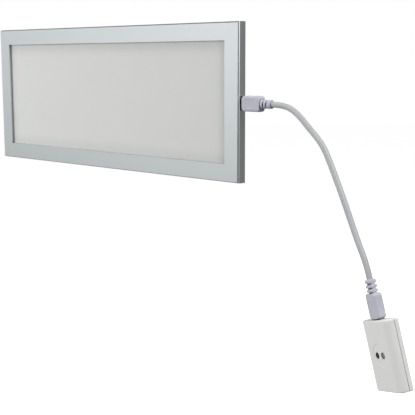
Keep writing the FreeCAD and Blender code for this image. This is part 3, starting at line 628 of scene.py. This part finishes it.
def make_overmould(name, placement, node):
    """A plug's moulding with its ringed strain relief, fused and softened."""
    block = plug_block()
    last_start = RINGS[-1][0]
    combine(block, oval_bar("spine", [
        (RELIEF_ROOT, SPINE_HALF_THICK, SPINE_HALF_WIDE),
        (last_start + SPINE_SUNK, SPINE_HALF_THICK, SPINE_HALF_WIDE)], SPINE_CORNER), "UNION")
    full = (RING_HALF_THICK, RING_HALF_WIDE)
    eased = (RING_HALF_THICK - RING_EASE, RING_HALF_WIDE - RING_EASE)
    for start, end in RINGS:
        stations = [(start, *eased), (start + RING_BEVEL, *full)]
        if start == last_start:
            stations += [(end + x, RING_HALF_THICK - thinner, RING_HALF_WIDE - narrower)
                         for x, thinner, narrower in LAST_RING_TAIL]
            stations.append((RELIEF_END, RELIEF_END_HALF_THICK, RELIEF_END_HALF_WIDE))
        else:
            stations += [(end - RING_BEVEL, *full), (end, *eased)]
        combine(block, oval_bar("ring", stations, RING_CORNER), "UNION")
    for face in (-1, 1):
        rings = []
        for height, grow in GRIP_PROFILE:
            shape = rounded_rectangle(GRIP_START - grow, GRIP_END + grow, GRIP_HALF_WIDE + grow,
                                      GRIP_CORNER, GRIP_CORNER, steps=6)
            rings.append([(x, face * (PLUG_HALF_THICK + height), z) for x, z in shape])
        combine(block, to_object("grip", loft(rings)), "DIFFERENCE")
    block.name = name
    remesh = block.modifiers.new("remesh", "REMESH")
    remesh.mode = "VOXEL"
    remesh.voxel_size = VOXEL * MM
    soften = block.modifiers.new("soften", "SMOOTH")
    soften.factor, soften.iterations = SOFTENING, SOFTENING_ROUNDS
    applied(block)
    block.data.transform(placement)
    block.data.shade_smooth()
    return finish_piece(block, "lead", "lilac_white_pvc", [node])


panel_plug = make_overmould("panel_plug_moulding", RIGHT_SOCKET, "panel_plug_overmould")
switch_plug = make_overmould("switch_plug_moulding", SWITCH_SOCKET, "switch_plug_overmould")


# ---------------------------------------------------------------- the switch box

BOX_TOP, BOX_LONG, BOX_HALF_WIDE = 1.75, 40.2, 14.05
BOX_BOTTOM = BOX_TOP - BOX_LONG
BOX_FRONT, BOX_SPLIT, BOX_BACK, PART_GAP = 4.25, 1.0, 4.1, 0.15
BOX_WALL = 1.3
# The lips of the back half: setback from both ends, reach past the seam, depth sunk in the
# shell, clearance to the front half's wall, half thickness, and the foot's sides.
LIP_SETBACK, LIP_REACH, LIP_SUNK, LIP_CLEARANCE, LIP_HALF_THICK = 4, 0.8, 0.4, 0.1, 0.35
FOOT_LOW, FOOT_HIGH = 0.5, 0.55
# Roundings of the long edges and of the ends, outside and inside.
FRONT_ROUND, BACK_ROUND, SEAM_ROUND, END_ROUND = 4.2, 1.0, 0.22, 0.8
INNER_FRONT_ROUND, INNER_BACK_ROUND, INNER_SEAM_ROUND, INNER_END_ROUND = 2.9, 0.4, 0.12, 0.3
OPENING_ROUND, OPENING_EASE = 0.4, 0.3
EYE_X, EYE_PITCH = -17.9, 5.8
# The shallow round recess about the eyes and an eye's window: (depth from the front, radius).
RECESS = ((-1.0, 6.85), (-0.01, 6.85), (0.06, 6.78), (0.16, 6.6), (0.18, 6.4))
WINDOW = ((-1.0, 1.91), (0.2, 1.91), (0.27, 1.85), (BOX_WALL + 1, 1.85))
# An eye's flange as (height above its foot, radius), then its dome. The dome's flat top is
# a share of its radius.
EYE_FOOT, EYE_RADIUS, AXIS = 1.3, 1.75, 0.001
FLANGE = ((0, AXIS), (0, 2.05), (0.08, 2.1), (0.82, 2.1), (0.9, 2.05), (0.9, EYE_RADIUS))
DOME_DEPTH, DOME_HEIGHT, DOME_STEPS, DOME_FLAT = 0.25, 1.25, 8, 0.28


def box_solid(name, half_wide, low_y, high_y, low_x, high_x, low_round, high_round, end_round):
    """A bar along X whose four long edges and two ends are rounded."""
    steps = 6
    cuts = [(end_round * (1 - math.cos(math.pi / 2 * k / steps)),
             end_round * (1 - math.sin(math.pi / 2 * k / steps))) for k in range(steps + 1)]
    stations = []
    for x, shrink in [(low_x + s, d) for s, d in cuts] + [
            (high_x - s, d) for s, d in reversed(cuts)]:
        stations.append((x, low_y + shrink * (low_round > 0.5),
                         high_y - shrink * (high_round > 0.5), half_wide - shrink,
                         max(low_round - shrink, 0.1), max(high_round - shrink, 0.1)))
    return bar(name, stations, steps=10)


def hollow_shell(name, low_y, high_y, low_round, high_round, inner_low_y, inner_high_y,
                 inner_low_round, inner_high_round):
    """One half of the box with its inside and the plug's opening cut out."""
    shell = box_solid(name, BOX_HALF_WIDE, low_y, high_y, BOX_BOTTOM, BOX_TOP, low_round,
                      high_round, END_ROUND)
    inner = box_solid("inner", BOX_HALF_WIDE - BOX_WALL, inner_low_y, inner_high_y,
                      BOX_BOTTOM + BOX_WALL, BOX_TOP - BOX_WALL, inner_low_round,
                      inner_high_round, INNER_END_ROUND)
    combine(shell, inner, "DIFFERENCE")
    stations = []
    for x, extra in ((-3.0, 0), (-0.2, 0), (0.1, OPENING_EASE), (1.0, OPENING_EASE)):
        wide = SLOT_HALF_WIDE + extra
        stations.append((BOX_TOP + x, -wide, wide, SLOT_HALF_LONG + extra, OPENING_ROUND,
                         OPENING_ROUND))
    combine(shell, bar("opening", stations, steps=4), "DIFFERENCE")
    return shell


def finish_shell(shell, node):
    """Puts a half of the box in its place."""
    shell.data.transform(SWITCH_SOCKET)
    resmooth(shell, angle=28)
    finish_piece(shell, "switch", "white_abs", [node])


def disc(name, z, profile, segments):
    """A round solid along Y at the eyes' height on the box, from (y, radius) points."""
    rings = [[(EYE_X + r * math.cos(2 * math.pi * k / segments), y,
               z + r * math.sin(2 * math.pi * k / segments)) for k in range(segments)]
             for y, r in profile]
    return to_object(name, loft(rings))


def front_cutter(name, z, profile, segments):
    """A round cutter from (depth from the box's front, radius) points."""
    return disc(name, z, [(-BOX_FRONT + depth, r) for depth, r in profile], segments)


def make_front_shell():
    """The front half, with the round recess and the two eye windows."""
    shell = hollow_shell("box_front", -BOX_FRONT, BOX_SPLIT, FRONT_ROUND, SEAM_ROUND,
                         -BOX_FRONT + BOX_WALL, BOX_SPLIT + 2, INNER_FRONT_ROUND,
                         INNER_SEAM_ROUND)
    combine(shell, front_cutter("recess", 0, RECESS, 96), "DIFFERENCE")
    for side in (-1, 1):
        window = front_cutter("window", side * EYE_PITCH / 2, WINDOW, 64)
        combine(shell, window, "DIFFERENCE")
    finish_shell(shell, "switch_front_shell")


def make_back_shell():
    """The back half, with two lips that reach into the front half."""
    seam = BOX_SPLIT + PART_GAP
    shell = hollow_shell("box_back", seam, BOX_BACK, SEAM_ROUND, BACK_ROUND, seam - 2,
                         BOX_BACK - BOX_WALL, INNER_SEAM_ROUND, INNER_BACK_ROUND)
    for side in (-1, 1):
        middle = side * (BOX_HALF_WIDE - BOX_WALL - LIP_CLEARANCE - LIP_HALF_THICK)
        low, high = BOX_BOTTOM + LIP_SETBACK, BOX_TOP - LIP_SETBACK
        lip = slab((low, BOX_SPLIT - LIP_REACH, middle - LIP_HALF_THICK),
                   (high, seam + LIP_SUNK, middle + LIP_HALF_THICK))
        foot = slab((low, seam, middle - FOOT_LOW), (high, seam + LIP_SUNK, middle + FOOT_HIGH))
        combine(shell, to_object("lip", lip), "UNION")
        combine(shell, to_object("foot", foot), "UNION")
    finish_shell(shell, "switch_back_shell")


def make_eye(name, side, node, slot):
    """A domed infrared part with its flange, standing on the board."""
    tip = -BOX_FRONT + DOME_DEPTH
    profile = [(EYE_FOOT - height, r) for height, r in FLANGE]
    for step in range(DOME_STEPS + 1):
        angle = math.pi / 2 * step / DOME_STEPS
        profile.append((tip + DOME_HEIGHT * (1 - math.sin(angle)),
                        EYE_RADIUS * (DOME_FLAT + (1 - DOME_FLAT) * math.cos(angle))))
    profile.append((tip, AXIS))
    eye = disc(name, side * EYE_PITCH / 2, profile, 48)
    eye.data.transform(SWITCH_SOCKET)
    resmooth(eye, angle=40)
    finish_piece(eye, "switch", slot, [node])


make_front_shell()
make_back_shell()
make_eye("receiver_eye", 1, "infrared_receiver", "dark_ir_epoxy")
make_eye("emitter_eye", -1, "infrared_emitter", "smoked_ir_epoxy")


# ---------------------------------------------------------------- stage and light

FLOOR_HEIGHT, FLOOR_RADIUS, FLOOR_GLOW = -0.42, 6, 0.8
DOME_RADIUS = 12
WALL_LIGHT = 0.96


def stage_object(name, mesh):
    """Writes a bmesh in metres as an object with a plain material of its own."""
    data = bpy.data.meshes.new(name)
    mesh.to_mesh(data)
    mesh.free()
    piece = bpy.data.objects.new(name, data)
    bpy.context.scene.collection.objects.link(piece)
    material = bpy.data.materials.new(f"{name}_white")
    material.use_nodes = True
    data.materials.append(material)
    return piece, material.node_tree, material.node_tree.nodes["Principled BSDF"]


def make_floor():
    """A white floor far below that reflects nothing onto the part."""
    mesh = bmesh.new()
    bmesh.ops.create_circle(mesh, cap_ends=True, segments=96, radius=FLOOR_RADIUS)
    floor, tree, shader = stage_object("floor", mesh)
    floor.location.z = FLOOR_HEIGHT
    grain = noise(tree, place_of(tree), 30, 3)
    plug_in(tree, shader, {
        "Base Color": ramp(tree, grain, [(0.3, 0.9), (0.7, 0.93)]), "Roughness": 0.8,
        "Emission Color": (1, 1, 1, 1), "Emission Strength": FLOOR_GLOW})
    floor.visible_glossy = False
    floor.visible_diffuse = False


def make_world():
    """A pale studio: a bright wall low on the left, dim overhead, dark behind on the right."""
    world = bpy.data.worlds.new("studio")
    bpy.context.scene.world = world
    world.use_nodes = True
    tree = world.node_tree
    way = add(tree, "ShaderNodeTexCoord").outputs["Generated"]
    height = add(tree, "ShaderNodeSeparateXYZ", {0: way}).outputs["Z"]

    def along(direction, stops):
        share = add(tree, "ShaderNodeVectorMath", {0: way, 1: direction},
                    operation="DOT_PRODUCT").outputs["Value"]
        return ramp(tree, share, stops)

    lifted = math_node(tree, "ADD", math_node(tree, "MULTIPLY", height, 0.5), 0.5)
    level = ramp(tree, lifted, [(0.0, 0.34), (0.45, 0.34), (0.56, 0.42), (1.0, 0.10)])
    shade = along((0.62, 0.77, -0.1), [(0.2, 1.0), (0.75, 0.53)])
    level = mix_colour(tree, 1.0, level, shade, "MULTIPLY")
    wall = along((-0.55, -0.835, 0.0), [(0.82, 0.0), (1.0, 1.0)])
    from_floor = ramp(tree, lifted, [(0.40, 0.25), (0.53, 1.0), (0.62, 0.9), (0.72, 0.2)])
    wall = mix_colour(tree, 1.0, wall, from_floor, "MULTIPLY")
    behind_camera = along((0.55, -0.82, 0.1), [(0.55, 1.0), (0.95, 0.35)])
    level = mix_colour(tree, 1.0, level, behind_camera, "MULTIPLY")
    plug_in(tree, tree.nodes["Background"], {
        "Color": mix_colour(tree, WALL_LIGHT, level, wall, "ADD"), "Strength": 1.0})


def make_backdrop():
    """A plain white dome that only the camera sees."""
    mesh = bmesh.new()
    bmesh.ops.create_uvsphere(mesh, u_segments=64, v_segments=32, radius=DOME_RADIUS)
    dome, tree, shader = stage_object("backdrop", mesh)
    plug_in(tree, shader, {
        "Base Color": (0, 0, 0, 1), "Specular IOR Level": 0, "Emission Color": (1, 1, 1, 1),
        "Emission Strength": 1.0})
    for ray in ("diffuse", "glossy", "transmission", "volume_scatter", "shadow"):
        setattr(dome, f"visible_{ray}", False)


def make_softbox(name, place, aim, size, power, diffuse=True, glossy=True):
    """A rectangular lamp that the camera doesn't see, in watts."""
    light = bpy.data.lights.new(name, "AREA")
    light.shape = "RECTANGLE"
    light.size, light.size_y = size
    light.energy = power
    softbox = bpy.data.objects.new(name, light)
    bpy.context.scene.collection.objects.link(softbox)
    softbox.location = place
    softbox.rotation_mode = "QUATERNION"
    softbox.rotation_quaternion = (Vector(aim) - Vector(place)).to_track_quat("-Z", "Y")
    softbox.visible_camera = False
    softbox.visible_diffuse, softbox.visible_glossy = diffuse, glossy


make_floor()
make_world()
make_backdrop()
make_softbox("key", (-0.9, -1.05, 0.25), (0.1, 0, -0.05), (0.8, 0.8), 14.5, glossy=False)
make_softbox("top", (1.0, -0.08, 0.95), (0.1, 0, -0.06), (0.8, 0.7), 17)
make_softbox("back", (-0.5, 1.2, 0.55), (0.05, 0, -0.05), (0.9, 0.7), 8, glossy=False)
make_softbox("edge", (1.25, -1.0, 0.32), (0.15, 0, 0.0), (0.9, 0.6), 3, diffuse=False)

bpy.context.scene.view_settings.view_transform = "Standard"
bpy.context.scene.view_settings.look = "None"
